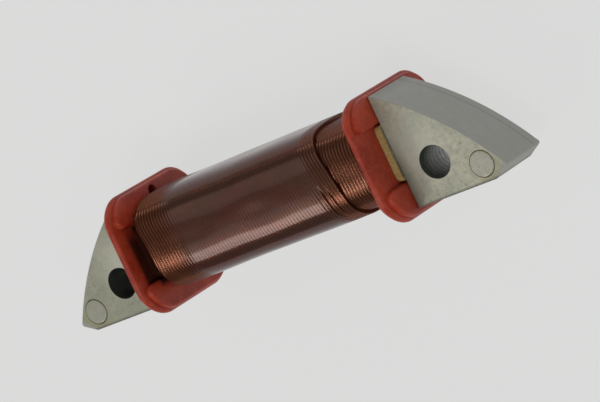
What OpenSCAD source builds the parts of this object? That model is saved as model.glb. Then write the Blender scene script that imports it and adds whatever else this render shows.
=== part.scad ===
// Ignition source coil for a flywheel magneto.
// X runs along the coil, +Y points at the flywheel's magnets, +Z is up through the lamination stack.
// The origin is midway between the two screw holes, on the back face of the pole shoes.

/* [Core] */
// Distance between the two screw holes
hole_spacing = 65; // [64:0.5:66]
// Radius of the two screw holes, M5 clearance
hole_r = 2.6; // [2.2:0.1:2.8]
// Thickness of one lamination
sheet_t = 1; // [0.9:0.05:1.1]
// Radius of the curved pole faces, which run past the magnets
face_r = 52; // [51.5:0.25:56]
// Distance from the magneto's centre to the line through the screw holes
hole_line_r = 31.9; // [31.6:0.1:32]
// Distance between the inner edges of the two pole shoes
shoe_gap = 52.8; // [52.6:0.1:53.4]
// Overall length over the two pole tips
tip_span = 88; // [87:0.5:89]
// How far the straight lower edge of a pole shoe lies below the hole line
shoe_drop = 5.7; // [5:0.1:6]
// Width of the core leg inside the bobbin
leg_w = 7.8; // [7:0.1:8]
// Distance from the hole line to the middle of the leg
leg_y = 3.6; // [3.4:0.1:3.7]

/* [Rivets] */
// Radius of the rivet shank
rivet_r = 2.05; // [1.8:0.05:2.1]
// Distance between the two rivets
rivet_spacing = 79.9; // [79:0.1:80.5]
// How far the rivets lie below the hole line
rivet_drop = 2.8; // [2.6:0.1:3]

/* [Bobbin] */
// Width of a flange along Y
flange_w = 20.4; // [20:0.1:20.8]
// Height of a flange along Z
flange_h = 24.6; // [24:0.1:25.4]
// Thickness of the flange plate between its pads
plate_t = 1.2; // [1:0.1:1.3]
// Thickness of the raised pads on both faces of a flange
pad_t = 0.9; // [0.6:0.1:1]
// Wall thickness of the bobbin's tube
tube_wall = 0.8; // [0.7:0.1:0.9]
// Wall thickness of the liner between the leg and the tube
liner_wall = 0.6; // [0.4:0.1:0.6]

/* [Winding] */
// Diameter of the enamelled wire
wire_d = 0.6; // [0.5:0.05:0.65]
// Length of the outermost layer, which stops short of the right flange
top_layer_len = 39.2; // [30:0.2:44]

/* [Hidden] */
$fn = 96;
// Overlap that makes a cut pass cleanly through a face
cut = 1;

// Stack of laminations
layer_count = 11;
stack_t = layer_count * sheet_t;
mid_z = stack_t / 2;
// Length of the slanted end face of a pole tip, along X
tip_cut = 2.75;
// Air gap between the free end of a leg and the opposite pole shoe
leg_end_gap = 0.1;

// Clearance of a rivet in its hole, and the height of its head over the front face
rivet_gap = 0.1;
head_h = 0.15;
// Width of the bevel round a rivet head
head_bevel = 0.15;

// Clearance between the leg, the liner and the tube
slip = 0.1;
// How far the pads and the liner stay clear of the pole shoes
pad_clear = 0.1;
liner_clear = 0.1;

// Cross-sections along Y and Z
leg_size = [leg_w, stack_t];
liner_in = leg_size + [2 * slip, 2 * slip];
liner_out = liner_in + [2 * liner_wall, 2 * liner_wall];
tube_in = liner_out + [2 * slip, 2 * slip];
tube_out = tube_in + [2 * tube_wall, 2 * tube_wall];
// Corner radii of the tube's outside, of its bore, and of the liner's outside and inside
tube_r = 2.5;
bore_r = 1.1;
liner_r = 1;
liner_in_r = 0.3;

// Flange: middle along Y, and corner radii on the magnet side and on the other side
flange_y = leg_y - 0.3;
flange_size = [flange_w, flange_h];
corner_top_r = 5.2;
corner_low_r = 6;
// Distance of the pads from the flange's rim, and the corner radius at their inner ends
pad_inset = [0.35, 1];
pad_r = 1.8;
// Clearance between the bore and the inner ends of the pads
pad_end_gap = 0.15;

// Planes across the right flange, outwards
pad_x = shoe_gap / 2 - pad_clear;
plate_x = pad_x - pad_t;
inner_x = plate_x - plate_t;
inner_pad_x = inner_x - pad_t;

// Winding: the full layers under the outermost one, and where that one starts
under_layers = 3;
layer_end_gap = 0.3;
top_start = -22;

// Hole for the winding's lead, in the left flange
lead_r = 0.85;
lead_y = 11.5;
lead_z = 5.1;

sides = ["left", "right"];
function side_sign(side) = side == "left" ? -1 : 1;
// The leg belongs to the left shoe in odd layers and to the right shoe in even layers
function has_leg(side, layer) = (side == "left") == (layer % 2 == 1);
function lamination_name(side, layer) =
    str("lamination_", layer < 10 ? "0" : "", layer, "_", side, has_leg(side, layer) ? "_leg" : "_shoe");
function layer_name(layer) = str("winding_layer_", layer);

// Rectangle with round corners, as an outline in the plane
module rounded(size, r) {
    square([size[0] - 2 * r, size[1]], center = true);
    square([size[0], size[1] - 2 * r], center = true);
    for (a = [-1, 1], b = [-1, 1])
        translate([a * (size[0] / 2 - r), b * (size[1] / 2 - r)]) circle(r = r);
}

// Stands an outline across the coil, its first axis on Y and its second on Z, and extrudes it along X
module across(x_from, x_to, y = leg_y) {
    translate([x_from, y, mid_z]) rotate([90, 0, 90]) linear_extrude(x_to - x_from) children();
}

// Outline of a sheet of the right-hand half: a pole shoe, and the leg if this sheet has one
module sheet_outline(with_leg) {
    tip = [tip_span / 2, sqrt(face_r * face_r - tip_span * tip_span / 4) - hole_line_r];
    low = [tip_span / 2 - tip_cut, -shoe_drop];
    // The slanted end face runs on past the tip, and the round face trims it
    past_tip = 2 * tip - low;
    inner = shoe_gap / 2;
    leg_from = leg_end_gap - inner;
    leg_low = leg_y - leg_w / 2;
    leg_high = leg_y + leg_w / 2;
    shoe = [
        [inner, -shoe_drop],
        low,
        past_tip,
        [past_tip[0], face_r],
        [inner, face_r]
    ];
    leg = [[inner, leg_high], [leg_from, leg_high], [leg_from, leg_low], [inner, leg_low]];
    intersection() {
        translate([0, -hole_line_r]) circle(r = face_r, $fn = 360);
        polygon(with_leg ? concat(shoe, leg) : shoe);
    }
}

// One sheet of the stack: a pole shoe, and the leg that reaches through the bobbin if it has one
module lamination(side, layer) {
    color("darkgray") translate([0, 0, (layer - 1) * sheet_t])
        mirror([side == "left" ? 1 : 0, 0, 0]) linear_extrude(sheet_t) difference() {
            sheet_outline(has_leg(side, layer));
            translate([hole_spacing / 2, 0]) circle(r = hole_r);
            translate([rivet_spacing / 2, -rivet_drop]) circle(r = rivet_r + rivet_gap);
        }
}

// Solid rivet, flush with the back face, with a low bevelled head over the front face
module rivet(side) {
    color("silver") translate([side_sign(side) * rivet_spacing / 2, -rivet_drop, 0]) {
        cylinder(r = rivet_r, h = stack_t);
        translate([0, 0, stack_t]) cylinder(r1 = rivet_r, r2 = rivet_r - head_bevel, h = head_h);
    }
}

// Pressboard sleeve round the leg, whose ends stick out of the bobbin
module core_liner() {
    end = shoe_gap / 2 - liner_clear;
    color("goldenrod") across(-end, end) difference() {
        rounded(liner_out, liner_r);
        rounded(liner_in, liner_in_r);
    }
}

// Outline of a flange, with larger corners on the side away from the magnets, drawn in by inset
module flange_outline(inset = [0, 0]) {
    size = flange_size - 2 * inset;
    half = [size[0] / 2 + cut, size[1] + cut];
    intersection() {
        rounded(size, corner_top_r - inset[0]);
        translate([0, -half[1] / 2]) square(half);
    }
    intersection() {
        rounded(size, corner_low_r - inset[0]);
        translate([-half[0], -half[1] / 2]) square(half);
    }
}

// Outlines of the two pads on one face of a flange
module pad_outlines() {
    shift = flange_y - leg_y;
    inner_end = tube_in[0] / 2 + pad_end_gap;
    intersection() {
        flange_outline(pad_inset);
        for (s = [-1, 1])
            translate([s * (inner_end + flange_w / 2) - shift, 0])
                rounded([flange_w, flange_h - 2 * pad_inset[1]], pad_r);
    }
}

// Right flange: a thin plate with two raised pads on each face
module flange() {
    across(inner_x, plate_x, flange_y) flange_outline();
    across(inner_pad_x, pad_x, flange_y) pad_outlines();
}

// One moulding: the tube that the wire is wound on, with a flange at each end
module bobbin() {
    color("firebrick") difference() {
        union() {
            across(-inner_x - plate_t / 2, inner_x + plate_t / 2) rounded(tube_out, tube_r);
            flange();
            mirror([1, 0, 0]) flange();
        }
        across(-pad_x - cut, pad_x + cut) rounded(tube_in, bore_r);
        translate([-pad_x - cut, lead_y, lead_z]) rotate([0, 90, 0])
            cylinder(r = lead_r, h = pad_x - inner_pad_x + 2 * cut);
    }
}

// One layer of wire, as the closed shape that its turns fill, counted from the tube outwards
module winding_layer(layer) {
    full_end = inner_pad_x - layer_end_gap;
    is_top = layer > under_layers;
    x_from = is_top ? top_start : -full_end;
    x_to = is_top ? top_start + top_layer_len : full_end;
    under = tube_out + [2, 2] * (layer - 1) * wire_d;
    over = tube_out + [2, 2] * layer * wire_d;
    color("saddlebrown") across(x_from, x_to) difference() {
        rounded(over, tube_r + layer * wire_d);
        rounded(under, tube_r + (layer - 1) * wire_d);
    }
}

for (side = sides, layer = [1:layer_count])
    lamination(side, layer);
for (side = sides)
    rivet(side);
core_liner();
bobbin();
for (layer = [1:under_layers + 1])
    winding_layer(layer);
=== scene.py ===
"""Looks of the ignition source coil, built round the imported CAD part.

Everything is in metres in the part's frame: X along the coil, +Y towards the
flywheel's magnets, +Z up through the stack of laminations.
"""

import math

import bmesh
import bpy
from mathutils import Matrix, Vector, noise


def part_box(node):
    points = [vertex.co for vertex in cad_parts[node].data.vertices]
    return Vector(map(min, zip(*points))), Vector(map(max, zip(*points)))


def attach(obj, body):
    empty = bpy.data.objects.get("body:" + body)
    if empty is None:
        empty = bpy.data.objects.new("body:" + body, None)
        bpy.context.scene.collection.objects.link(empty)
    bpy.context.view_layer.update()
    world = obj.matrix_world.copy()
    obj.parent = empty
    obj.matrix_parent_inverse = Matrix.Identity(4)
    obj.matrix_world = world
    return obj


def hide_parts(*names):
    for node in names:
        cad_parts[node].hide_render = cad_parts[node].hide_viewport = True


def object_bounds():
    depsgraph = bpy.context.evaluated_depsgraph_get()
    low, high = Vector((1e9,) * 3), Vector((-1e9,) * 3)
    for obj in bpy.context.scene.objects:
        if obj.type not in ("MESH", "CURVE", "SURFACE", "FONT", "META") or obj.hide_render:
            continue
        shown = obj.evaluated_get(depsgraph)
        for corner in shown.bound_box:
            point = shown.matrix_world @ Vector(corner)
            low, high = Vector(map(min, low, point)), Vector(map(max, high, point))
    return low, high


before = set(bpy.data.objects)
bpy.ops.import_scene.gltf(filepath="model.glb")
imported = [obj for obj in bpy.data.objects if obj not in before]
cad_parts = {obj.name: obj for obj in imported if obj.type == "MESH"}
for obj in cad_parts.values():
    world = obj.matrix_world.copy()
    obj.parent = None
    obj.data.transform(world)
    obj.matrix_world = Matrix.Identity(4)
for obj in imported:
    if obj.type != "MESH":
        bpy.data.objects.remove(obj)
cad_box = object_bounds()

MM = 0.001
BODY = "root"


# ---------------------------------------------------------------- sizes
low, high = cad_box
centre = (low + high) / 2

shoe_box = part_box("lamination_01_right_shoe")
tip_x = shoe_box[1].x
shoe_in = shoe_box[0].x
shoe_drop = -shoe_box[0].y
hole_x = 32.5 * MM
hole_r = 2.6 * MM
face_r = 52 * MM
face_y = -31.9 * MM
tip_cut = 2.75 * MM
leg_gap = 0.1 * MM
leg_low, leg_high = -0.3 * MM, 7.5 * MM
rivet_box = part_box("rivet_right")
rivet_r = (rivet_box[1].x - rivet_box[0].x) / 2
rivet_x = (rivet_box[1].x + rivet_box[0].x) / 2
rivet_y = (rivet_box[1].y + rivet_box[0].y) / 2
rivet_gap = 0.1 * MM
# Known fault: the strong roll was meant for the stack's top, which is sheet 11, but
# this is the top of sheet 2. It shows as a thin line near the back of the pole face
rolled_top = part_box("lamination_02_right_leg")[1].z

liner_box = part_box("core_liner")
leg_y = (liner_box[0].y + liner_box[1].y) / 2
mid_z = (liner_box[0].z + liner_box[1].z) / 2

flange_y = centre.y
flange_size = (high.y - low.y, high.z - low.z)
pad_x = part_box("bobbin")[1].x
PAD_T = 0.9 * MM
PLATE_T = 1.2 * MM
CORNER_TOP = 5.2 * MM
CORNER_LOW = 6 * MM
TUBE_IN = (9.4 * MM, 12.6 * MM)
TUBE_OUT = (11.0 * MM, 14.2 * MM)
TUBE_R = 2.5 * MM
BORE_R = 1.1 * MM
# How far the pads keep in from the rim of their plate, and the round of their feet
PAD_INSET = 0.35 * MM
PAD_FOOT_R = 1.8 * MM
# The lead hole goes through the left flange's upper pad
LEAD_Y, LEAD_Z = 11.5 * MM, 5.1 * MM
LEAD_R = 0.85 * MM
LEAD_END = 23.3 * MM
# Points on the corners and sides of the bobbin's loops
BOBBIN_GRAIN = {"arc": 16, "side": (8, 8)}

WIRE = 0.6 * MM
# How square the winding has stayed on its square tube: 2 is an ellipse
OVAL = 3.3
# Points round each turn, and rows of them from one turn to the next
AROUND = 96
PER_TURN = 10
# Depth of a groove in wire radii, and how much of it the lacquer levels
GROOVE = 0.85
LEVELLED = 0.99
# Depth of the open gaps between the last turns, in wires
GAP_DEPTH = 0.65

# Points round each screw hole and rivet
CIRCLE_POINTS = 64


# ---------------------------------------------------------------- materials
def add(tree, kind, **values):
    """A node, with its input sockets and properties set by name."""
    node = tree.nodes.new(kind)
    for key, value in values.items():
        if key in node.inputs:
            node.inputs[key].default_value = value
        else:
            setattr(node, key, value)
    return node


def start(name, **values):
    """A material with its tree, its shader and the object coordinates in millimetres."""
    material = bpy.data.materials.new(name)
    material.use_nodes = True
    tree = material.node_tree
    shader = tree.nodes["Principled BSDF"]
    for key, value in values.items():
        shader.inputs[key].default_value = value
    coords = add(tree, "ShaderNodeTexCoord")
    scale = add(tree, "ShaderNodeVectorMath", operation="SCALE", Scale=1000.0)
    tree.links.new(coords.outputs["Object"], scale.inputs[0])
    return material, tree, shader, scale.outputs[0]


def noise_of(tree, where, scale, detail, rough, stretch=None):
    """Noise in units of millimetres, stretched by a vector if one is given."""
    if stretch:
        mapping = add(tree, "ShaderNodeMapping")
        mapping.inputs["Scale"].default_value = stretch
        tree.links.new(where, mapping.inputs["Vector"])
        where = mapping.outputs[0]
    node = add(
        tree,
        "ShaderNodeTexNoise",
        Scale=scale,
        Detail=detail,
        Roughness=rough,
    )
    tree.links.new(where, node.inputs["Vector"])
    return node.outputs["Fac"]


def split(tree, where):
    """The x, y and z sockets of a vector."""
    parts = add(tree, "ShaderNodeSeparateXYZ")
    tree.links.new(where, parts.inputs[0])
    return parts.outputs


def remap(tree, value, from_low, from_high, to_low=0.0, to_high=1.0):
    """A value carried from one range into another, clamped."""
    node = add(tree, "ShaderNodeMapRange")
    tree.links.new(value, node.inputs["Value"])
    node.inputs["From Min"].default_value = from_low
    node.inputs["From Max"].default_value = from_high
    node.inputs["To Min"].default_value = to_low
    node.inputs["To Max"].default_value = to_high
    return node.outputs["Result"]


def mix(tree, factor, a, b):
    """A mix of two colours, each given as a colour or as a socket."""
    node = add(tree, "ShaderNodeMix", data_type="RGBA")
    for socket, value in ((0, factor), (6, a), (7, b)):
        if isinstance(value, (tuple, float, int)):
            node.inputs[socket].default_value = (
                (*value, 1.0) if isinstance(value, tuple) else value
            )
        else:
            tree.links.new(value, node.inputs[socket])
    return node.outputs[2]


def math_of(tree, operation, a, b=0.0):
    """A Math node on two sockets or numbers."""
    node = add(tree, "ShaderNodeMath", operation=operation)
    for socket, value in enumerate((a, b)):
        if isinstance(value, (float, int)):
            node.inputs[socket].default_value = value
        else:
            tree.links.new(value, node.inputs[socket])
    return node.outputs[0]


def bump(tree, shader, height, strength, distance):
    """A bump on the shader's own normal; distance in metres."""
    node = add(tree, "ShaderNodeBump", Strength=strength, Distance=distance)
    tree.links.new(height, node.inputs["Height"])
    tree.links.new(node.outputs[0], shader.inputs["Normal"])
    return node


def near(tree, where, middle, inner, outer):
    """1 within a distance of an upright line at (|x|, y), falling to 0 further out."""
    x, y = split(tree, where)[:2]
    joined = add(tree, "ShaderNodeCombineXYZ")
    tree.links.new(math_of(tree, "ABSOLUTE", x), joined.inputs[0])
    tree.links.new(y, joined.inputs[1])
    reach = add(tree, "ShaderNodeVectorMath", operation="DISTANCE")
    tree.links.new(joined.outputs[0], reach.inputs[0])
    reach.inputs[1].default_value = (*middle, 0.0)
    return remap(tree, reach.outputs["Value"], inner, outer, 1.0, 0.0)


GROUND_STEEL = ((0.325, 0.325, 0.295), (0.37, 0.37, 0.34))
# Painted light on the pole face beside the flange
PAINTED_FILL_LIGHT = (0.60, 0.61, 0.50)
OLIVE_STAIN = (0.30, 0.27, 0.11)
# Painted shade beside the flange, and the dark line along the low edge
SHADE_AND_EDGE_LINE = (0.12, 0.115, 0.09)
# The dark of bare steel with painted shade, and painted light, on the hole walls
HOLE_SHADE_AND_LIGHT = ((0.05, 0.06, 0.045), (0.85, 0.87, 0.86))
HOLE_TORN = (0.04, 0.045, 0.04)
SHEET_EDGE = (0.03, 0.03, 0.03)


def steel(name, base, dark, warm, rough, sheets=True):
    """Zinc-plated steel with cloudy plating and specks.

    The sheets of the core also get their ground faces, an olive stain, painted light and
    shade beside the flange, a dark line along the low edge, and hole walls with painted shade
    and light.
    """
    material, tree, shader, where = start(
        name, Metallic=0.2, **{"Specular IOR Level": 0.4}
    )
    cloud = noise_of(tree, where, 0.26, 5.0, 0.65)
    grain = noise_of(tree, where, 1.1, 4.0, 0.65)
    fine = noise_of(tree, where, 7.0, 2.0, 0.5)
    colour = mix(tree, remap(tree, cloud, 0.35, 0.65), base, warm)
    colour = mix(tree, remap(tree, grain, 0.42, 0.74, 0.0, 0.5), colour, dark)
    speck = noise_of(tree, where, 2.3, 1.0, 0.3)
    colour = mix(tree, remap(tree, speck, 0.66, 0.73, 0.0, 0.65), colour, dark)
    roughness = remap(tree, grain, 0.3, 0.7, rough - 0.06, rough + 0.08)
    x, y, z = split(tree, where)
    # Darker towards the left pole
    dull = remap(tree, x, -30.0, -25.0, 0.5, 0.0)
    colour = mix(tree, dull, colour, dark)
    if sheets:
        side = math_of(tree, "ABSOLUTE", x)
        ground = ground_faces(tree, where, side, y)
        brushed = noise_of(tree, where, 1.0, 3.0, 0.6, stretch=(0.5, 0.5, 5.0))
        plain = mix(tree, remap(tree, brushed, 0.3, 0.7), *GROUND_STEEL)
        colour = mix(tree, ground, colour, plain)
        # Painted light: paler plating beside the flange, which lifts the shade that the
        # flange casts on the pole face
        pale = near(tree, where, (shoe_in / MM + 3.5, 3.0), 2.0, 7.0)
        pale = math_of(tree, "MULTIPLY", pale, remap(tree, ground, 0.0, 1.0, 0.6, 0.0))
        colour = mix(tree, pale, colour, PAINTED_FILL_LIGHT)
        # A dull olive stain by the rivets, faint on the ground faces
        colour_mark = near(tree, where, (rivet_x / MM + 1.0, rivet_y / MM - 1.0), 1.6, 4.2)
        mottle = remap(tree, fine, 0.35, 0.6, 0.25, 0.75)
        colour_mark = math_of(tree, "MULTIPLY", colour_mark, mottle)
        kept = remap(tree, ground, 0.0, 1.0, 0.7, 0.15)
        colour_mark = math_of(tree, "MULTIPLY", colour_mark, kept)
        colour = mix(tree, colour_mark, colour, OLIVE_STAIN)
        # Painted shade beside the flange, where the flange shades the pole face, weaker
        # higher up; and a dark line along the low edge
        strip = remap(tree, side, shoe_in / MM, shoe_in / MM + 2.0, 0.85, 0.0)
        lower = remap(tree, y, 1.0, 6.0, 1.0, 0.4)
        strip = math_of(tree, "MULTIPLY", strip, lower)
        edge = -shoe_drop / MM
        low_edge = remap(tree, y, edge + 0.1, edge + 0.5, 0.85, 0.0)
        strip = math_of(tree, "MAXIMUM", strip, low_edge)
        colour = mix(tree, strip, colour, SHADE_AND_EDGE_LINE)
        # The hole walls carry painted shade and, in the right hole, painted light
        hole = near(
            tree, where, (hole_x / MM, 0.0), hole_r / MM + 0.03, hole_r / MM + 0.1
        )
        colour = mix(tree, hole, colour, hole_wall(tree, where, x, z))
    tree.links.new(colour, shader.inputs["Base Color"])
    tree.links.new(roughness, shader.inputs["Roughness"])
    bump(tree, shader, mix(tree, 0.4, grain, fine), 0.3, 0.00004)
    return material


def ground_faces(tree, where, side, y):
    """1 on the pole face and the tip's facet, which are ground after stacking."""
    face = near(
        tree, where, (0.0, face_y / MM), face_r / MM - 0.2, face_r / MM - 0.06
    )
    face = math_of(tree, "SUBTRACT", 1.0, face)
    corner = (tip_x - tip_cut + shoe_drop) / MM
    beyond = math_of(tree, "SUBTRACT", side, y)
    tip = remap(tree, beyond, corner - 0.25, corner - 0.1)
    return math_of(tree, "MAXIMUM", face, tip)


def hole_wall(tree, where, x, z):
    """The colour of the punched walls of the screw holes: mostly dark, partly as bare steel
    and partly as painted shade, with painted light low down in the right hole, as if light
    came up from below.
    """
    # Painted light low down in the right hole, as if light came up from below
    lit_from_below = remap(tree, z, 4.0, 10.0, 1.0, 0.0)
    lit_from_below = math_of(tree, "MULTIPLY", lit_from_below, remap(tree, x, -1.0, 1.0))
    # The cut edge of each sheet, a millimetre thick, shows as a ridge in the wall
    sheet = math_of(tree, "FRACT", math_of(tree, "ADD", z, 0.5))
    sheet = math_of(tree, "ABSOLUTE", math_of(tree, "SUBTRACT", sheet, 0.5))
    torn = noise_of(tree, where, 1.6, 3.0, 0.7, stretch=(1.0, 1.0, 2.5))
    wall = mix(tree, lit_from_below, *HOLE_SHADE_AND_LIGHT)
    wall = mix(tree, remap(tree, torn, 0.38, 0.62, 0.4, 0.0), wall, HOLE_TORN)
    return mix(tree, remap(tree, sheet, 0.0, 0.2, 0.5, 0.0), wall, SHEET_EDGE)


RED_PLASTIC = ((0.30, 0.022, 0.008), (0.45, 0.052, 0.021))
PLASTIC_DUST = (0.47, 0.12, 0.07)
# Painted shade in the channel beside the winding
CHANNEL_SHADE = (0.012, 0.006, 0.004)


def moulded(name):
    """Dark red moulded plastic, semi-gloss, dusty and slightly uneven."""
    material, tree, shader, where = start(name)
    cloud = noise_of(tree, where, 0.22, 5.0, 0.6)
    dust = noise_of(tree, where, 1.1, 4.0, 0.65)
    fine = noise_of(tree, where, 5.0, 2.0, 0.5)
    colour = mix(tree, remap(tree, cloud, 0.35, 0.68), *RED_PLASTIC)
    colour = mix(tree, remap(tree, dust, 0.50, 0.75, 0.0, 0.45), colour, PLASTIC_DUST)
    # Painted shade in the channel beside the winding and on the tube; the plastic there is
    # also rougher and less shiny
    colour_mark = painted_channel_shade(tree, where)
    colour = mix(tree, colour_mark, colour, CHANNEL_SHADE)
    tree.links.new(colour, shader.inputs["Base Color"])
    rough = remap(tree, dust, 0.3, 0.75, 0.32, 0.5)
    shade_rough = remap(tree, colour_mark, 0.2, 0.9, 0.0, 0.8)
    rough = math_of(tree, "MAXIMUM", rough, shade_rough)
    tree.links.new(rough, shader.inputs["Roughness"])
    gloss = remap(tree, colour_mark, 0.2, 0.9, 0.3, 0.05)
    tree.links.new(gloss, shader.inputs["Specular IOR Level"])
    bump(tree, shader, mix(tree, 0.35, dust, fine), 0.45, 0.00008)
    return material


def painted_channel_shade(tree, where):
    """How strongly painted shade lies on the tube and on the plates beside it, in the channel
    next to the winding.
    """
    position = split(tree, where)
    side = math_of(tree, "ABSOLUTE", position[0])
    plate = (pad_x - PAD_T - PLATE_T) / MM
    colour_mark = remap(tree, side, plate - 0.7, plate - 0.3)
    off, above = [], []
    for axis, middle, width in ((1, leg_y, TUBE_OUT[0]), (2, mid_z, TUBE_OUT[1])):
        away = math_of(tree, "SUBTRACT", position[axis], middle / MM)
        above.append(away)
        away = math_of(tree, "ABSOLUTE", away)
        away = math_of(tree, "SUBTRACT", away, width / 2 / MM)
        away = math_of(tree, "MAXIMUM", away, 0.0)
        off.append(math_of(tree, "MULTIPLY", away, away))
    reach = math_of(tree, "SQRT", math_of(tree, "ADD", off[0], off[1]))
    round_tube = remap(tree, reach, 2.0, 3.1, 0.9, 0.0)
    colour_mark = math_of(tree, "MULTIPLY", colour_mark, round_tube)
    below_pads = remap(tree, position[1], 5.5, 8.5, 1.0, 0.0)
    colour_mark = math_of(tree, "MULTIPLY", colour_mark, below_pads)
    on_tube = math_of(
        tree,
        "MULTIPLY",
        remap(tree, reach, 0.1, 1.0, 0.95, 0.0),
        remap(tree, above[0], 4.2, 4.8, 1.0, 0.0),
    )
    colour_mark = math_of(tree, "MAXIMUM", colour_mark, on_tube)
    inside = remap(tree, side, plate + 0.1, plate + 0.4, 1.0, 0.0)
    return math_of(tree, "MULTIPLY", colour_mark, inside)


# Each pair is the range that a wire's colour wanders over
LACQUERED_WIRE = ((0.13, 0.046, 0.024), (0.175, 0.063, 0.031))
BARE_WIRE = ((0.17, 0.060, 0.030), (0.215, 0.076, 0.038))
WIRE_STREAK = (0.10, 0.038, 0.022)
LACQUER_VEIL = (0.078, 0.045, 0.034)
LACQUER_TINT = (0.125, 0.034, 0.026)
# Painted shade in the grooves between turns
GROOVE_SHADE = (0.022, 0.009, 0.006)
WIRE_SHEEN = (0.30, 0.19, 0.15, 1.0)


def copper(name):
    """Enamelled copper wire under lacquer.

    The ridge attribute is 1 along the crown of each turn and 0 between turns, and
    the lacquer attribute says how thick the lacquer lies.
    """
    material, tree, shader, where = start(
        name,
        Metallic=0.85,
        **{"Coat Roughness": 0.10, "Coat IOR": 1.38, "Specular Tint": WIRE_SHEEN},
    )
    ridge = add(tree, "ShaderNodeAttribute", attribute_name="ridge").outputs["Fac"]
    lacquer = add(tree, "ShaderNodeAttribute", attribute_name="lacquer").outputs["Fac"]
    # Painted shade in the grooves between turns, fainter where lacquer fills them
    groove = remap(tree, ridge, 0.1, 0.85, 1.0, 0.0)
    shown = remap(tree, lacquer, 0.0, 1.0, 0.45, 0.15)
    groove = math_of(tree, "MULTIPLY", groove, shown)
    streak = noise_of(tree, where, 1.0, 4.0, 0.6, stretch=(0.06, 0.5, 0.5))
    patch = noise_of(tree, where, 0.35, 3.0, 0.5)
    colour = mix(tree, remap(tree, patch, 0.35, 0.7), *LACQUERED_WIRE)
    colour = mix(tree, remap(tree, streak, 0.35, 0.65, 0.0, 0.8), colour, WIRE_STREAK)
    bare = mix(tree, remap(tree, patch, 0.35, 0.7), *BARE_WIRE)
    veiled = mix(tree, 0.35, colour, LACQUER_VEIL)
    tint = noise_of(tree, where, 0.22, 2.0, 0.5, stretch=(0.5, 1.0, 1.0))
    veiled = mix(tree, remap(tree, tint, 0.45, 0.7, 0.0, 0.75), veiled, LACQUER_TINT)
    colour = mix(tree, lacquer, bare, veiled)
    colour = mix(tree, groove, colour, GROOVE_SHADE)
    tree.links.new(colour, shader.inputs["Base Color"])
    # The wires under the lacquer shine less than the bare ones
    rough = remap(tree, streak, 0.3, 0.7, 0.17, 0.26)
    rough = math_of(tree, "ADD", rough, remap(tree, lacquer, 0.0, 1.0, 0.0, 0.05))
    tree.links.new(rough, shader.inputs["Roughness"])
    coat = remap(tree, lacquer, 0.0, 1.0, 0.2, 0.78)
    tree.links.new(coat, shader.inputs["Coat Weight"])
    height = math_of(tree, "MULTIPLY", ridge, lacquer)
    bump(tree, shader, height, 1.0, 0.000022)
    return material


BOARD_FIBRE = ((0.30, 0.19, 0.06), (0.52, 0.38, 0.15))
BOARD_CLOUD = (0.42, 0.26, 0.09)


def pressboard(name):
    """Tan pressboard with fibres along the sleeve and darker clouds."""
    material, tree, shader, where = start(name)
    fibre = noise_of(tree, where, 1.0, 5.0, 0.65, stretch=(1.2, 4.0, 4.0))
    cloud = noise_of(tree, where, 0.5, 3.0, 0.5)
    colour = mix(tree, remap(tree, fibre, 0.3, 0.7), *BOARD_FIBRE)
    colour = mix(tree, remap(tree, cloud, 0.5, 0.75, 0.0, 0.5), colour, BOARD_CLOUD)
    tree.links.new(colour, shader.inputs["Base Color"])
    tree.links.new(remap(tree, fibre, 0.3, 0.7, 0.7, 0.88), shader.inputs["Roughness"])
    bump(tree, shader, fibre, 0.5, 0.00006)
    return material


PLATED = steel(
    "core_plated",
    base=(0.40, 0.413, 0.325),
    dark=(0.22, 0.225, 0.162),
    warm=(0.545, 0.525, 0.405),
    rough=0.46,
)
RIVET = steel(
    "rivet_plated",
    base=(0.43, 0.435, 0.355),
    dark=(0.27, 0.27, 0.205),
    warm=(0.47, 0.45, 0.355),
    rough=0.38,
    sheets=False,
)
RED = moulded("bobbin_red")
COPPER = copper("wire_enamel")
BOARD = pressboard("liner_board")


# ---------------------------------------------------------------- mesh tools
def make_object(name, verts, faces, smooth, material, nodes, attributes=()):
    """A mesh piece that rides on the body and stands for CAD nodes."""
    mesh = bpy.data.meshes.new(name)
    mesh.from_pydata([tuple(v) for v in verts], [], faces)
    mesh.validate()
    mesh.polygons.foreach_set("use_smooth", smooth)
    for attribute, values in attributes:
        layer = mesh.attributes.new(attribute, "FLOAT", "POINT")
        layer.data.foreach_set("value", values)
    mesh.materials.append(material)
    piece = bpy.data.objects.new(name, mesh)
    bpy.context.collection.objects.link(piece)
    fix_normals(piece)
    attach(piece, BODY)
    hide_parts(*nodes)
    return piece


def fix_normals(piece):
    """Turns every face of a closed mesh outwards."""
    bm = bmesh.new()
    bm.from_mesh(piece.data)
    bmesh.ops.recalc_face_normals(bm, faces=bm.faces)
    bm.to_mesh(piece.data)
    bm.free()


def grid_faces(rows, columns, close_rows=False, first=0):
    """Quads over a grid of vertices whose rows are closed loops."""
    faces = []
    last = rows if close_rows else rows - 1
    for i in range(last):
        for j in range(columns):
            a = first + i * columns + j
            b = first + i * columns + (j + 1) % columns
            c = first + ((i + 1) % rows) * columns + (j + 1) % columns
            d = first + ((i + 1) % rows) * columns + j
            faces.append((a, b, c, d))
    return faces


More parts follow.
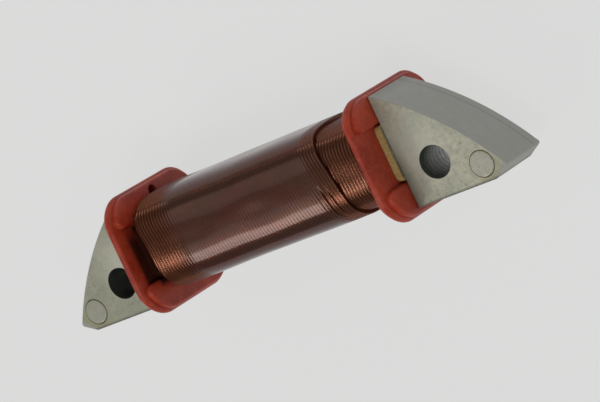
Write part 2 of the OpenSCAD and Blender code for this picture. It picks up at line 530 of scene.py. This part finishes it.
def round_rect(size, r_high, r_low=None, arc=8, side=(6, 6)):
    """Points round a rectangle with round corners, as (y, z) about its middle.

    r_high rounds the corners at +Y and r_low those at -Y. The count of points
    depends only on arc and side, so loops of different sizes can be joined.
    """
    r_low = r_high if r_low is None else r_low
    half_y, half_z = size[0] / 2, size[1] / 2
    corners = (
        (half_y - r_high, half_z - r_high, r_high, 0),
        (-half_y + r_low, half_z - r_low, r_low, 90),
        (-half_y + r_low, -half_z + r_low, r_low, 180),
        (half_y - r_high, -half_z + r_high, r_high, 270),
    )
    points = []
    for k, (cy, cz, r, turn) in enumerate(corners):
        for i in range(arc + 1):
            a = math.radians(turn + 90 * i / arc)
            points.append((cy + r * math.cos(a), cz + r * math.sin(a)))
        ny, nz, nr, nturn = corners[(k + 1) % 4]
        a = math.radians(nturn)
        goal = (ny + nr * math.cos(a), nz + nr * math.sin(a))
        last = points[-1]
        count = side[k % 2]
        for i in range(1, count):
            f = i / count
            points.append(
                (last[0] + (goal[0] - last[0]) * f, last[1] + (goal[1] - last[1]) * f)
            )
    return points


def ring(points, x, y=leg_y, z=mid_z):
    """A loop of (y, z) points placed across the coil at x."""
    return [Vector((x, y + p[0], z + p[1])) for p in points]


# ---------------------------------------------------------------- laminations
def offset_loop(points, amounts, outwards=False):
    """A closed loop moved inwards at each point by its own amount."""
    n = len(points)
    area = sum(
        points[i][0] * points[(i + 1) % n][1] - points[(i + 1) % n][0] * points[i][1]
        for i in range(n)
    )
    turn = 1 if area > 0 else -1
    if outwards:
        turn = -turn
    moved = []
    for i, (x, y) in enumerate(points):
        ax, ay = points[i - 1]
        bx, by = points[(i + 1) % n]
        d1 = Vector((x - ax, y - ay)).normalized()
        d2 = Vector((bx - x, by - y)).normalized()
        n1 = Vector((-d1.y, d1.x)) * turn
        n2 = Vector((-d2.y, d2.x)) * turn
        m = (n1 + n2) / max(1 + n1.dot(n2), 0.35)
        moved.append((x + m.x * amounts[i], y + m.y * amounts[i]))
    return moved


def soften(points, radii, steps=4):
    """A loop with each corner that has a radius replaced by a small arc."""
    out = []
    n = len(points)
    for i, p in enumerate(points):
        r = radii[i]
        if r == 0:
            out.append(p)
            continue
        p = Vector(p)
        a = (Vector(points[i - 1]) - p).normalized()
        b = (Vector(points[(i + 1) % n]) - p).normalized()
        angle = a.angle(b)
        reach = r / math.tan(angle / 2)
        middle = p + (a + b).normalized() * (r / math.sin(angle / 2))
        from_dir = p + a * reach - middle
        to_dir = p + b * reach - middle
        for k in range(steps + 1):
            t = k / steps
            d = (from_dir * (1 - t) + to_dir * t).normalized() * r
            out.append(tuple(middle + d))
    return out


def sheet_loop(with_leg):
    """Outline of a right-hand sheet in the plane, anticlockwise."""
    tip_y = math.sqrt(face_r**2 - tip_x**2) + face_y
    inner_y = math.sqrt(face_r**2 - shoe_in**2) + face_y
    a0 = math.atan2(tip_y - face_y, tip_x)
    a1 = math.atan2(inner_y - face_y, shoe_in)
    count = 40
    arc = [
        (
            face_r * math.cos(a0 + (a1 - a0) * i / count),
            face_y + face_r * math.sin(a0 + (a1 - a0) * i / count),
        )
        for i in range(1, count)
    ]
    points = [(shoe_in, -shoe_drop), (tip_x - tip_cut, -shoe_drop), (tip_x, tip_y)]
    radii = [0.25 * MM, 0.8 * MM, 0.45 * MM]
    points += arc
    radii += [0] * len(arc)
    points.append((shoe_in, inner_y))
    radii.append(0.15 * MM)
    if with_leg:
        leg_from = leg_gap - shoe_in
        points += [
            (shoe_in, leg_high),
            (leg_from, leg_high),
            (leg_from, leg_low),
            (shoe_in, leg_low),
        ]
        radii += [0] * 4
    return soften(points, radii)


def circle_loop(x, y, r, count=CIRCLE_POINTS):
    """A circle in the plane of the sheets."""
    turns = [2 * math.pi * i / count for i in range(count)]
    return [(x + r * math.cos(a), y + r * math.sin(a)) for a in turns]


def lamination(name, side, with_leg):
    """One sheet, its cut edges slightly rolled, and more on two of the faces."""
    z0, z1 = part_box(name)[0].z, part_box(name)[1].z
    # The rolls of the walls, the ground face and the holes: on most faces, and on
    # the stack's back and at rolled_top
    rolls = {
        "wall": (0.045 * MM, 0.13 * MM),
        "arc": (0.012 * MM, 0.30 * MM),
        "hole": (0.07 * MM, 0.09 * MM),
    }
    flat_part = 0.04 * MM
    same = 0.1 * MM
    at_top = abs(z1 - rolled_top) < same
    at_back = abs(z0) < same
    loops = [
        (sheet_loop(with_leg), False),
        (circle_loop(hole_x, 0, hole_r), True),
        (circle_loop(rivet_x, rivet_y, rivet_r + rivet_gap), True),
    ]
    sign = -1 if side == "left" else 1
    verts, faces = [], []
    ends = {False: [], True: []}
    steps = 4
    for points, is_hole in loops:
        kinds = []
        for x, y in points:
            on_arc = abs(math.hypot(x, y - face_y) - face_r) < 0.02 * MM and x > shoe_in
            kinds.append("hole" if is_hole else "arc" if on_arc else "wall")
        rows = []
        for top in (False, True):
            strong = at_top if top else at_back
            z = z1 if top else z0
            order = range(steps, -1, -1) if not top else range(steps + 1)
            for k in order:
                # k = 0 is on the wall and k = steps on the face
                a = math.pi / 2 * k / steps
                radii = [rolls[kind][strong] for kind in kinds]
                amounts = [r * (1 - math.cos(a)) for r in radii]
                drop = [r * (1 - math.sin(a)) for r in radii]
                moved = offset_loop(points, amounts, outwards=is_hole)
                row = [
                    (sign * p[0], p[1], z - d if top else z + d)
                    for p, d in zip(moved, drop)
                ]
                # A second row just inside keeps the wall between the rolls flat
                flat = [(x, y, z - flat_part if top else z + flat_part) for x, y, z in row]
                if k == 0 and top:
                    rows.append(flat)
                rows.append(row)
                if k == 0 and not top:
                    rows.append(flat)
        first = len(verts)
        count = len(points)
        for row in rows:
            verts.extend(row)
        faces += grid_faces(len(rows), count, first=first)
        ends[False].append((first, count))
        ends[True].append((first + (len(rows) - 1) * count, count))
    bm = bmesh.new()
    made = [bm.verts.new(v) for v in verts]
    for f in faces:
        bm.faces.new([made[i] for i in f]).smooth = True
    bm.edges.ensure_lookup_table()
    for top in (False, True):
        edges = []
        for first, count in ends[top]:
            for j in range(count):
                edges.append(
                    bm.edges.get((made[first + j], made[first + (j + 1) % count]))
                )
        filled = bmesh.ops.triangle_fill(
            bm, edges=edges, use_beauty=True, use_dissolve=False
        )
        for face in filled["geom"]:
            if isinstance(face, bmesh.types.BMFace):
                face.smooth = False
    bmesh.ops.recalc_face_normals(bm, faces=bm.faces)
    mesh = bpy.data.meshes.new("sheet_" + name)
    bm.to_mesh(mesh)
    bm.free()
    mesh.materials.append(PLATED)
    piece = bpy.data.objects.new("sheet_" + name.replace("lamination_", ""), mesh)
    bpy.context.collection.objects.link(piece)
    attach(piece, BODY)
    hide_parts(name)
    return piece


for node in sorted(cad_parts):
    if node.startswith("lamination_"):
        side, kind = node.split("_")[2:]
        lamination(node, side, kind == "leg")


# ---------------------------------------------------------------- rivets
def rivet(side):
    """A solid rivet with a low, slightly domed head."""
    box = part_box("rivet_" + side)
    x, y = (box[0].x + box[1].x) / 2, (box[0].y + box[1].y) / 2
    bottom, top = box[0].z, box[1].z
    r = rivet_r
    chamfer = 0.1 * MM
    edge = 0.16 * MM
    profile = [(0.25 * r, bottom), (r - chamfer, bottom), (r, bottom + chamfer)]
    for k in range(6):
        a = math.pi / 2 * k / 5
        profile.append((r - edge + edge * math.cos(a), top - edge + edge * math.sin(a) * 0.9))
    profile.append((r * 0.8, top - 0.008 * MM))
    profile.append((r * 0.55, top - 0.002 * MM))
    profile.append((r * 0.25, top))
    count = CIRCLE_POINTS
    verts = []
    for pr, pz in profile:
        verts += [(px, py, pz) for px, py in circle_loop(x, y, pr)]
    faces = grid_faces(len(profile), count)
    faces.append(tuple(range(count)))
    last = (len(profile) - 1) * count
    faces.append(tuple(last + j for j in range(count)))
    smooth = [True] * len(faces)
    return make_object(
        "rivet_domed_" + side, verts, faces, smooth, RIVET, ["rivet_" + side]
    )


for side in ("left", "right"):
    rivet(side)


# ---------------------------------------------------------------- liner
def liner():
    """The pressboard sleeve, two plies wound one on the other."""
    lo, hi = liner_box
    outer = (hi.y - lo.y, hi.z - lo.z)
    wall = 0.6 * MM
    half = wall / 2
    # It reaches a little past the CAD liner, but not to the pole shoe
    end = min(hi.x + 0.35 * MM, shoe_in - 0.05 * MM)
    edge = 0.08 * MM
    groove = 0.12 * MM
    flank = 0.05 * MM
    step = 0.03 * MM
    r = 1.0 * MM

    def loop(inset):
        return round_rect(
            (outer[0] - 2 * inset, outer[1] - 2 * inset), max(r - inset, 0.1 * MM)
        )

    # The right end's profile as inset and x, with a groove between the two plies
    profile = (
        (0, end - edge),
        (edge * 0.3, end - edge * 0.3),
        (edge, end),
        (half - flank, end),
        (half, end - groove),
        (half + flank, end - step),
        (wall - edge, end - step),
        (wall, end - edge - step),
    )
    steps = [(0, -end + edge), *profile]
    steps += [(inset, -x) for inset, x in reversed(profile[1:])]
    verts = []
    for inset, x in steps:
        verts += ring(loop(inset), x)
    count = len(loop(0))
    faces = grid_faces(len(steps), count, close_rows=True)
    return make_object(
        "liner_sleeve", verts, faces, [False] * len(faces), BOARD, ["core_liner"]
    )


liner()


# ---------------------------------------------------------------- bobbin
def evenly(dense, count):
    """Points spaced evenly along a closed loop of many more points."""
    lengths = [0.0]
    for i in range(len(dense)):
        p, q = dense[i], dense[(i + 1) % len(dense)]
        lengths.append(lengths[-1] + math.hypot(q[0] - p[0], q[1] - p[1]))
    points, k = [], 0
    for i in range(count):
        goal = lengths[-1] * i / count
        while lengths[k + 1] < goal:
            k += 1
        p, q = dense[k], dense[(k + 1) % len(dense)]
        f = (goal - lengths[k]) / (lengths[k + 1] - lengths[k])
        points.append((p[0] + (q[0] - p[0]) * f, p[1] + (q[1] - p[1]) * f))
    return points


def pad_loop(upper, count=96):
    """Outline of a pad on a flange face, as (y, z) about the flange's middle."""
    half_y, half_z = flange_size[0] / 2 - PAD_INSET, flange_size[1] / 2 - 1 * MM
    r_out = (CORNER_TOP if upper else CORNER_LOW) - PAD_INSET
    sign = 1 if upper else -1
    inner_y = TUBE_IN[0] / 2 + 0.15 * MM + sign * (leg_y - flange_y)
    r_in = PAD_FOOT_R

    def inside(y, z):
        qy, qz = max(y - (half_y - r_out), 0), max(abs(z) - (half_z - r_out), 0)
        if y > half_y or abs(z) > half_z or math.hypot(qy, qz) > r_out:
            return False
        qy, qz = max(inner_y + r_in - y, 0), max(abs(z) - (half_z - r_in), 0)
        return y >= inner_y and math.hypot(qy, qz) <= r_in

    # The outline lies where a ray from the middle leaves the shape
    middle = ((inner_y + half_y) / 2, 0.0)
    rays, halvings = 1440, 40
    dense = []
    for i in range(rays):
        a = 2 * math.pi * i / rays
        near_end, far_end = 0.0, 20 * MM
        for _ in range(halvings):
            t = (near_end + far_end) / 2
            if inside(middle[0] + t * math.cos(a), t * math.sin(a)):
                near_end = t
            else:
                far_end = t
        dense.append((middle[0] + near_end * math.cos(a), near_end * math.sin(a)))
    return [(sign * y, z) for y, z in evenly(dense, count)]


def pad_mesh(upper, sign, face_x, inwards):
    """A raised pad with a drafted side and a round shoulder, as vertices and faces."""
    points = pad_loop(upper)
    shoulder = 0.42 * MM
    draft = 0.05 * MM
    foot = -0.3 * MM
    way = -1 if inwards else 1
    # Each step is an inset and a height over the plate; the foot is sunk in it
    profile = [(-0.02 * MM, foot), (0.0, 0.0), (draft, PAD_T - shoulder)]
    steps = 6
    for k in range(1, steps + 1):
        a = math.pi / 2 * k / steps
        inset = draft + shoulder * (1 - math.cos(a))
        profile.append((inset, PAD_T - shoulder + shoulder * math.sin(a)))
    profile.append((draft + shoulder + 0.12 * MM, PAD_T))
    verts = []
    for inset, height in profile:
        moved = offset_loop(points, [inset] * len(points))
        x = sign * (face_x + way * height)
        verts += [Vector((x, flange_y + p[0], mid_z + p[1])) for p in moved]
    faces = grid_faces(len(profile), len(points))
    smooth = [True] * len(faces)
    faces.append(tuple(range(len(points))))
    last = (len(profile) - 1) * len(points)
    faces.append(tuple(last + j for j in range(len(points))))
    smooth += [False, False]
    return verts, faces, smooth


def body_mesh():
    """The tube and the two flange plates with their full-round rims."""
    plate_out = pad_x - PAD_T
    plate_in = plate_out - PLATE_T
    rim = PLATE_T / 2
    flat_from = rim + 0.15 * MM
    bore = round_rect(TUBE_IN, BORE_R, **BOBBIN_GRAIN)

    def plate(inset):
        size = (flange_size[0] - 2 * inset, flange_size[1] - 2 * inset)
        return round_rect(size, CORNER_TOP - inset, CORNER_LOW - inset, **BOBBIN_GRAIN)

    # Loops from the bore over the right-hand rim to the tube, each with its x and y
    half = [(bore, plate_out, leg_y), (plate(flat_from), plate_out, flange_y)]
    steps = 10
    for k in range(steps + 1):
        a = math.pi * k / steps
        x = plate_out - rim + rim * math.cos(a)
        half.append((plate(rim * (1 - math.sin(a))), x, flange_y))
    half.append((plate(flat_from), plate_in, flange_y))
    fillet = 0.4 * MM
    steps = 4
    for k in range(steps + 1):
        a = math.pi / 2 * k / steps
        grow = fillet * (1 - math.sin(a))
        size = (TUBE_OUT[0] + 2 * grow, TUBE_OUT[1] + 2 * grow)
        tube = round_rect(size, TUBE_R + grow, **BOBBIN_GRAIN)
        half.append((tube, plate_in - fillet * (1 - math.cos(a)), leg_y))
    rows = [ring(p, x, y) for p, x, y in half]
    rows += [ring(p, -x, y) for p, x, y in reversed(half)]
    verts = [v for row in rows for v in row]
    count = len(bore)
    faces = grid_faces(len(rows), count, close_rows=True)
    smooth = []
    for i in range(len(rows)):
        flat = i in (0, 1, len(rows) - 2, len(rows) - 3, len(rows) - 1)
        flat = flat or rows[i][0].x == rows[(i + 1) % len(rows)][0].x
        smooth += [not flat] * count
    return verts, faces, smooth


def raw_object(name, parts):
    """An object from one or more (verts, faces, smooth) shells."""
    verts, faces, smooth = [], [], []
    for v, f, s in parts:
        first = len(verts)
        verts += v
        faces += [tuple(first + i for i in face) for face in f]
        smooth += s
    mesh = bpy.data.meshes.new(name)
    mesh.from_pydata([tuple(v) for v in verts], [], faces)
    mesh.polygons.foreach_set("use_smooth", smooth)
    piece = bpy.data.objects.new(name, mesh)
    bpy.context.collection.objects.link(piece)
    fix_normals(piece)
    return piece


def lead_hole():
    """The space of the lead hole, wider at both mouths, as a shell."""
    # Each step is a part of the radius and a part of the way through the flange
    profile = (
        (1.25, -0.02),
        (1.06, 0.06),
        (1.0, 0.2),
        (1.0, 0.8),
        (1.06, 0.94),
        (1.25, 1.02),
    )
    span = pad_x - LEAD_END
    count = 32
    verts = []
    for f, t in profile:
        for j in range(count):
            a = 2 * math.pi * j / count
            y = LEAD_Y + LEAD_R * f * math.cos(a)
            z = LEAD_Z + LEAD_R * f * math.sin(a)
            verts.append(Vector((-pad_x + span * t, y, z)))
    faces = grid_faces(len(profile), count)
    faces.append(tuple(range(count)))
    faces.append(tuple((len(profile) - 1) * count + j for j in range(count)))
    return verts, faces, [True] * len(faces)


def bobbin():
    """One moulding: tube, plates and pads joined, with the lead hole cut out."""
    body = raw_object("bobbin_moulding", [body_mesh()])
    plate_out = pad_x - PAD_T
    plate_in = plate_out - PLATE_T
    shells = []
    for sign in (-1, 1):
        for upper in (False, True):
            shells.append(pad_mesh(upper, sign, plate_out, False))
            shells.append(pad_mesh(upper, sign, plate_in, True))
    pads = raw_object("pads", shells)
    hole = raw_object("lead_hole", [lead_hole()])
    for other, operation in ((pads, "UNION"), (hole, "DIFFERENCE")):
        step = body.modifiers.new("join", "BOOLEAN")
        step.operation = operation
        step.solver = "EXACT"
        step.object = other
    bpy.context.view_layer.update()
    depsgraph = bpy.context.evaluated_depsgraph_get()
    mesh = bpy.data.meshes.new_from_object(body.evaluated_get(depsgraph))
    body.modifiers.clear()
    body.data = mesh
    for other in (pads, hole):
        bpy.data.objects.remove(other)
    mesh.materials.clear()
    mesh.materials.append(RED)
    for polygon in mesh.polygons:
        polygon.material_index = 0
    mesh.set_sharp_from_angle(angle=math.radians(38))
    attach(body, BODY)
    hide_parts("bobbin")
    return body


bobbin()


# ---------------------------------------------------------------- winding
def smooth_step(x, a, b):
    """0 up to a, 1 from b, and a smooth way between them."""
    t = min(max((x - a) / (b - a), 0.0), 1.0)
    return t * t * (3 - 2 * t)


def oval(size, power, count):
    """Points round a rounded oval, evenly spaced, as (y, z) about its middle."""
    dense = []
    steps = 2880
    for i in range(steps):
        a = 2 * math.pi * i / steps
        c, s = math.cos(a), math.sin(a)
        r = abs(c / (size[0] / 2)) ** power + abs(s / (size[1] / 2)) ** power
        r = r ** (-1 / power)
        dense.append((r * c, r * s))
    return evenly(dense, count)


def first_lean(x, y):
    """The first turns bow in beside the left flange."""
    near_start = 1 - smooth_step(x, -30 * MM, 10 * MM)
    return near_start * 0.95 * MM * smooth_step(-y, -6 * MM, 0)


def winding(number, lacquer_at, slant_at=None, gaps=()):
    """One layer of turns as a closed ridged sleeve.

    lacquer_at(x, y) says how far lacquer fills the grooves, from 0 to 1, and
    slant_at(x, y) how much the turns lean there. Each of the gaps is a turn and
    how far below the middle the gap beside it starts to open.
    """
    node = f"winding_layer_{number}"
    lo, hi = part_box(node)
    outer = (hi.y - lo.y, hi.z - lo.z)
    loop = oval(outer, OVAL, AROUND)
    # The inner wall of the sleeve, a little over a wire in
    walls = 2.3 * WIRE
    under = [(y * (1 - walls / outer[0]), z * (1 - walls / outer[1])) for y, z in loop]
    # Each turn lies square across the coil and steps over to the next underneath
    step_over = []
    for y, z in loop:
        below = smooth_step(math.atan2(y, -z), -0.35, 0.35) if z < 0 else 0.0
        step_over.append(1.0 - below if z < 0 else (0.0 if y > 0 else 1.0))
    length = hi.x - lo.x
    turns = round(length / WIRE)
    verts, ridge_of, lacquer_of = [], [], []
    rows = turns * PER_TURN + 1

    def lean(x, y):
        return first_lean(x, y) + (slant_at(x, y) if slant_at else 0.0)

    for i in range(rows):
        x = lo.x + length * i / (turns * PER_TURN)
        for j, (y, z) in enumerate(loop):
            fill = lacquer_at(x, y)
            phase = i / PER_TURN + step_over[j]
            u = phase - math.floor(phase)
            wire = math.sqrt(max(1 - (2 * u - 1) ** 2, 0.0))
            depth = (1 - wire) * 0.5 * WIRE * GROOVE
            depth *= 1 - LEVELLED * fill
            for turn, start_y in gaps:
                open_by = smooth_step(-y, start_y, start_y + 1.5 * MM)
                reach = max(1 - abs(phase - turn) / 0.4, 0.0) * open_by
                depth = max(depth, reach * GAP_DEPTH * WIRE)
            # Slow swells, different in each layer
            swell = Vector((x * 110, y * 170, z * 170 + number * 7.3))
            wave = noise.noise(swell) * 0.10 * MM
            ny, nz = y - under[j][0], z - under[j][1]
            size = math.hypot(ny, nz)
            ny, nz = ny / size, nz / size
            cut_back = depth + 0.03 * MM - wave
            place = (x + lean(x, y), leg_y + y - ny * cut_back, mid_z + z - nz * cut_back)
            verts.append(Vector(place))
            ridge_of.append(math.sin(math.pi * u))
            lacquer_of.append(fill)
    for x in (hi.x, lo.x):
        for (y, _), (under_y, under_z) in zip(loop, under):
            verts.append(Vector((x + lean(x, y), leg_y + under_y, mid_z + under_z)))
            ridge_of.append(1.0)
            lacquer_of.append(0.0)
        rows += 1
    faces = grid_faces(rows, AROUND, close_rows=True)
    # The two ends and the inner wall are flat
    smooth = []
    for i in range(rows):
        smooth += [i < rows - 3] * AROUND
    return make_object(
        f"wire_turns_{number}",
        verts,
        faces,
        smooth,
        COPPER,
        [node],
        (("ridge", ridge_of), ("lacquer", lacquer_of)),
    )


def top_lacquer(x, y):
    """Thick along the middle of the outermost layer, thin on its last turns."""
    end = 1 - 0.5 * smooth_step(x, 13.5 * MM, 15.5 * MM)
    end -= 0.3 * smooth_step(x, 12.0 * MM, 14.0 * MM) * smooth_step(-y, 0, 2.2 * MM)
    return smooth_step(x, -18.5 * MM, -14.0 * MM) * end


def low_lacquer(x, _y):
    """A thin film on the layers underneath, where they show at the right."""
    return 0.22 * smooth_step(x, 0, 1 * MM)


def top_slant(x, y):
    """The last turns lean, so that the layer ends along a slanted line."""
    near_end = smooth_step(x, -6 * MM, 17 * MM)
    t = y / (7.5 * MM)
    return near_end * (-0.35 - 1.30 * t - 0.55 * t * t) * MM


for number in (1, 2, 3):
    winding(number, low_lacquer)
winding(4, top_lacquer, top_slant, gaps=((61, 0.0 * MM), (63, 0.6 * MM)))


# ---------------------------------------------------------------- studio
def emission_floor():
    """A pale table whose paper glows a little, so that shadows stay faint."""
    material = bpy.data.materials.new("floor_paper")
    material.use_nodes = True
    tree = material.node_tree
    shader = tree.nodes["Principled BSDF"]
    shader.inputs["Base Color"].default_value = (0.10, 0.10, 0.10, 1)
    shader.inputs["Roughness"].default_value = 0.9
    shader.inputs["Specular IOR Level"].default_value = 0.0
    shader.inputs["Emission Color"].default_value = (1.0, 1.0, 0.995, 1)
    where = add(tree, "ShaderNodeTexCoord").outputs["Object"]
    x, y = split(tree, where)[:2]
    # A painted shadow: the paper under the part doesn't glow. The patch keeps inside the
    # part's outline
    reach = add(tree, "ShaderNodeVectorMath", operation="DISTANCE")
    tree.links.new(where, reach.inputs[0])
    reach.inputs[1].default_value = (0, face_y, low.z)
    # Each row is a measure, the last place where the patch is full, and its edge
    limits = (
        (x, 0.033, 0.0385),
        (x, -0.038, -0.042),
        (y, 0.0075, 0.0102),
        (y, -0.0030, -0.0054),
        (reach.outputs["Value"], 0.044, 0.048),
    )
    shade = 1.0
    for value, full, none in limits:
        shade = math_of(tree, "MULTIPLY", remap(tree, value, full, none, 1.0, 0.0), shade)
    glow = remap(tree, shade, 0.0, 1.0, FLOOR_GLOW, 0.02)
    tree.links.new(glow, shader.inputs["Emission Strength"])
    mesh = bpy.data.meshes.new("floor")
    half, z = 6.0, low.z
    corners = [(-half, -half, z), (half, -half, z), (half, half, z), (-half, half, z)]
    mesh.from_pydata(corners, [], [(0, 1, 2, 3)])
    mesh.materials.append(material)
    floor = bpy.data.objects.new("floor", mesh)
    bpy.context.collection.objects.link(floor)


def area_light(name, direction, distance, size, watts, shape="RECTANGLE"):
    """A soft light that looks at the object from a direction, its width along the coil."""
    light = bpy.data.lights.new(name, "AREA")
    light.shape = shape
    light.size, light.size_y = size
    light.energy = watts
    lamp = bpy.data.objects.new(name, light)
    way = Vector(direction).normalized()
    along = (Vector((1, 0, 0)) - way * way.x).normalized()
    turn = Matrix((along, way.cross(along), way)).transposed().to_4x4()
    lamp.matrix_world = Matrix.Translation(centre + way * distance) @ turn
    bpy.context.collection.objects.link(lamp)
    return lamp


# Strengths of the floor's own glow and of the even light all round
FLOOR_GLOW = 0.64
WORLD = 0.20

world = bpy.data.worlds.new("studio")
world.use_nodes = True
world.node_tree.nodes["Background"].inputs["Color"].default_value = (1, 1, 1, 1)
world.node_tree.nodes["Background"].inputs["Strength"].default_value = WORLD
bpy.context.scene.world = world

emission_floor()
area_light("band", (-0.594, -0.42, 0.685), 1.2, (0.34, 0.42), 1.8)
area_light("band_soft", (-0.594, -0.25, 0.764), 1.3, (0.8, 0.44), 0.72, "ELLIPSE")
area_light("overhead", (0.21, -0.255, 0.915), 1.4, (0.32, 0.34), 4.3)
area_light("fill", (0.60, -0.31, 0.75), 1.5, (0.6, 0.36), 2.6)
area_light("dim", (-0.594, 0.32, 0.738), 1.4, (1.0, 0.8), 0.8, "ELLIPSE")
area_light("dim_core", (-0.594, 0.32, 0.738), 1.4, (1.0, 0.35), 0.95, "ELLIPSE")
area_light("horizon", (-0.1, 0.95, 0.26), 1.6, (1.6, 0.35), 2.2)

# The camera's place and lens come from a perspective fit to the edges of the part.
# BACK points from the part to the camera, UP is up in the picture
LENS = 202.06
DISTANCE = 0.523865
BACK = Vector((0.594354, 0.090494, 0.799096))
UP = Vector((0.293286, 0.900824, -0.320155))
AIM = centre + Vector((2.656, -2.0195, 0)) * MM

camera_data = bpy.data.cameras.new("camera")
camera_data.sensor_width = 36.0
camera_data.lens = LENS
camera_data.clip_start, camera_data.clip_end = 0.01, 10
camera = bpy.data.objects.new("camera", camera_data)
right = UP.cross(BACK).normalized()
up = BACK.cross(right).normalized()
back = BACK.normalized()
place = Matrix.Translation(AIM + back * DISTANCE)
camera.matrix_world = place @ Matrix((right, up, back)).transposed().to_4x4()
bpy.context.collection.objects.link(camera)
bpy.context.scene.camera = camera
bpy.context.scene.view_settings.view_transform = "Standard"
